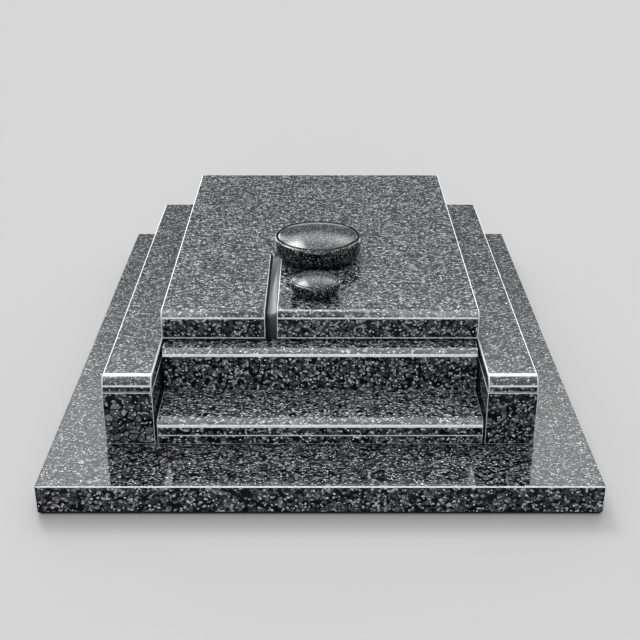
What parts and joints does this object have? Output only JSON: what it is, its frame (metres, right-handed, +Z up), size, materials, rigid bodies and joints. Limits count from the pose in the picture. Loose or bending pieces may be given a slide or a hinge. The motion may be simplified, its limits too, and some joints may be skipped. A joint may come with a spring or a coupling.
{
  "type": "stepped ledger headstone",
  "caption": "Low stepped grave memorial of polished dark granite: kerbs and steps on a base slab carry a grooved cover slab with domed stone discs.",
  "frame": {"origin": "middle of the base slab's footprint, on the ground", "axes": "+Z up, +Y from the front steps towards the back, +X to the right when seen from the front"},
  "size_m": [1.05, 1.31, 0.3347],
  "materials": {
    "dark_granite": "mirror polished, coarse dark charcoal granite with pale specks"
  },
  "bodies": {
    "root": {"base_slab": "dark_granite", "left_kerb_block": "dark_granite", "right_kerb_block": "dark_granite", "left_kerb_cap": "dark_granite", "right_kerb_cap": "dark_granite", "lower_step_block": "dark_granite", "lower_step_tread": "dark_granite", "upper_step_block": "dark_granite", "upper_step_tread": "dark_granite", "cover_slab": "dark_granite", "large_disc": "dark_granite", "small_disc": "dark_granite"}
  },
  "joints": []
}
